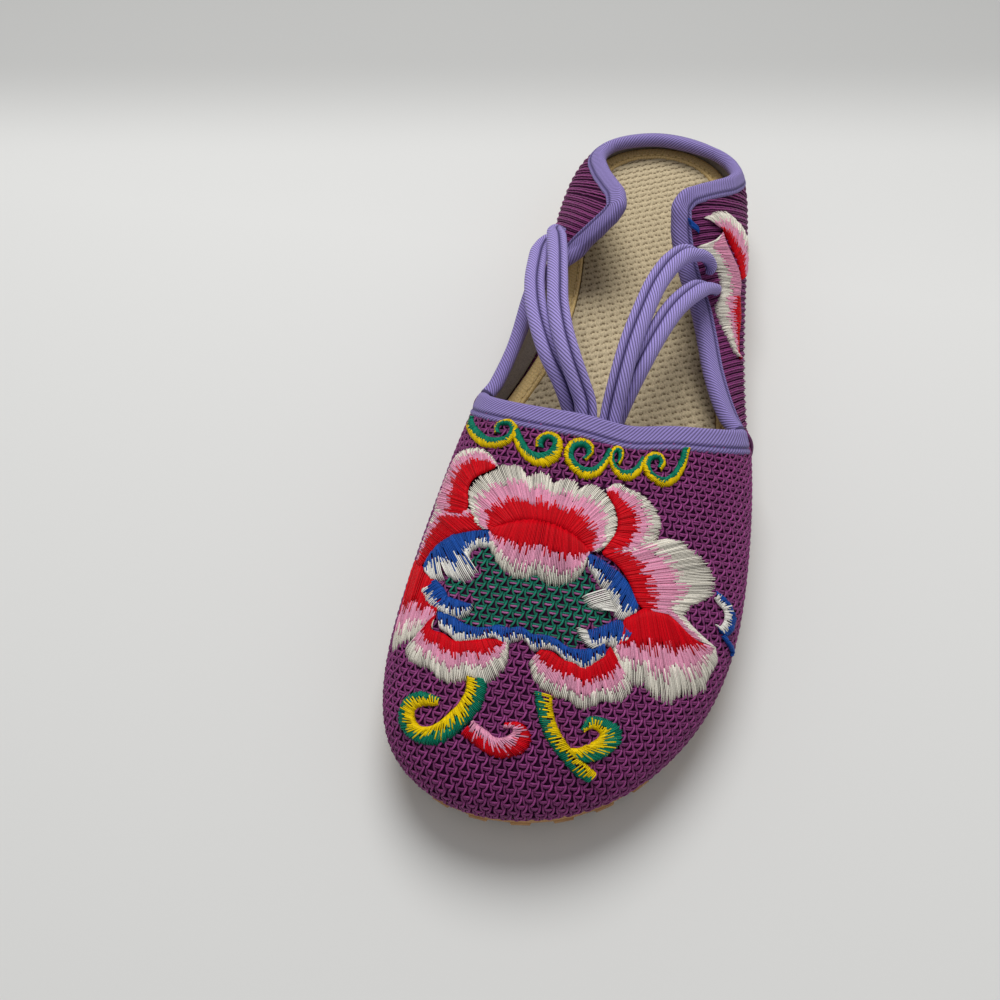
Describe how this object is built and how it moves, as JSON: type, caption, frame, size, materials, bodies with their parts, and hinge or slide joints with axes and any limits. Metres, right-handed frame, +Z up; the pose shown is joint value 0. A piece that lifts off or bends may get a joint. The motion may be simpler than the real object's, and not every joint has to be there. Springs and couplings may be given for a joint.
{
  "type": "embroidered cloth flat shoe",
  "caption": "Left cloth flat with a closed round toe, a bound throat, a low back with inward-leaning wings, corded straps, a woven insole and a lugged gum rubber sole.",
  "frame": {"origin": "under the middle of the shoe's box, on the floor that the sole's lugs stand on", "axes": "+X to the wearer's left, the little-toe side; +Y from the toe to the heel; +Z up"},
  "size_m": [0.0904, 0.245, 0.0531],
  "materials": {
    "gum_rubber": "matte moulded rubber",
    "tan_tape": "woven tape",
    "beige_weave": "basket weave",
    "purple_cloth": "coarse slubbed weave",
    "lavender_tape": "folded twill tape",
    "lavender_cord": "twill-covered cord"
  },
  "bodies": {
    "root": {"outsole": "gum_rubber", "insole_binding": "tan_tape", "insole": "beige_weave", "upper": "purple_cloth", "throat_binding": "lavender_tape", "collar_binding": "lavender_tape", "strap_outside_upper": "lavender_cord", "strap_outside_lower": "lavender_cord", "strap_inside_upper": "lavender_cord", "strap_inside_lower": "lavender_cord"}
  },
  "joints": []
}
